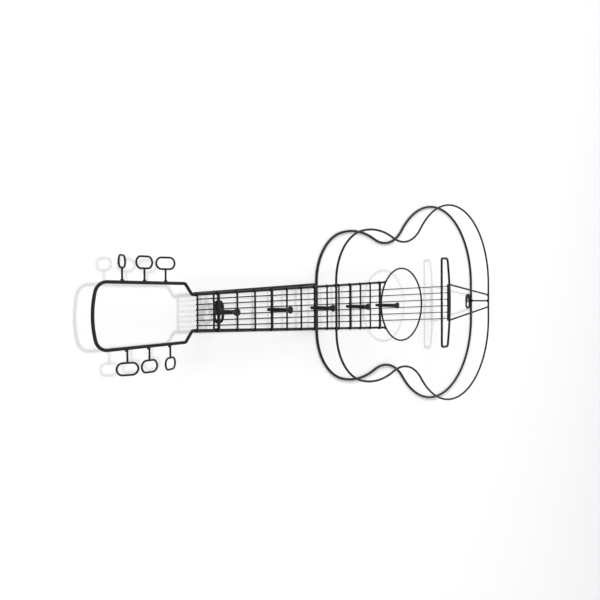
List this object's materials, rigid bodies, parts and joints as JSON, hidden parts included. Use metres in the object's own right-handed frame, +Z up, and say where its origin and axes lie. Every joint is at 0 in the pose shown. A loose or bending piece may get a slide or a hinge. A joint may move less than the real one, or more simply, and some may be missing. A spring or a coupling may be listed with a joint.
{
  "type": "wall guitar hanger",
  "caption": "Guitar-shaped wall rack of welded steel wire, with coat pegs along the neck and a keyhole plate at each end for wall screws.",
  "frame": {"origin": "centre of the round hole in the tail keyhole plate, on the face that lies against the wall", "axes": "+X along the neck from the headstock to the tail, +Y into the wall, +Z up"},
  "size_m": [0.913, 0.0775, 0.3718],
  "materials": {
    "wire_coat": "satin black powder coat on steel wire",
    "string_coat": "satin black powder coat on thin steel wire",
    "peg_coat": "satin black powder coat on turned steel",
    "plate_coat": "satin black powder coat on stamped sheet steel"
  },
  "bodies": {
    "root": {"back_rail_lower": "wire_coat", "back_rail_upper": "wire_coat", "body_back_outline": "wire_coat", "body_front_outline": "wire_coat", "bridge_frame": "wire_coat", "coat_peg_1": "peg_coat", "coat_peg_2": "peg_coat", "coat_peg_3": "peg_coat", "coat_peg_4": "peg_coat", "coat_peg_5": "peg_coat", "fret_1": "wire_coat", "fret_2": "wire_coat", "fret_3": "wire_coat", "fret_4": "wire_coat", "fret_5": "wire_coat", "fret_6": "wire_coat", "fret_7": "wire_coat", "fret_8": "wire_coat", "hanger_arm_lower": "wire_coat", "hanger_arm_upper": "wire_coat", "hanger_bar": "wire_coat", "headstock_frame": "wire_coat", "neck_keyhole_plate": "plate_coat", "neck_rail_lower": "wire_coat", "neck_rail_upper": "wire_coat", "nut_bar": "wire_coat", "peg_bar_1": "wire_coat", "peg_bar_2": "wire_coat", "peg_bar_3": "wire_coat", "peg_bar_4": "wire_coat", "peg_bar_5": "wire_coat", "soundhole_ring": "wire_coat", "string_1": "string_coat", "string_2": "string_coat", "string_3": "string_coat", "string_4": "string_coat", "string_5": "string_coat", "string_6": "string_coat", "string_anchor_bar": "wire_coat", "tail_keyhole_plate": "plate_coat", "tail_spacer": "wire_coat", "tailpiece_wire_lower": "wire_coat", "tailpiece_wire_upper": "wire_coat", "tuner_key_1": "wire_coat", "tuner_key_2": "wire_coat", "tuner_key_3": "wire_coat", "tuner_key_4": "wire_coat", "tuner_key_5": "wire_coat", "tuner_key_6": "wire_coat"}
  },
  "joints": []
}
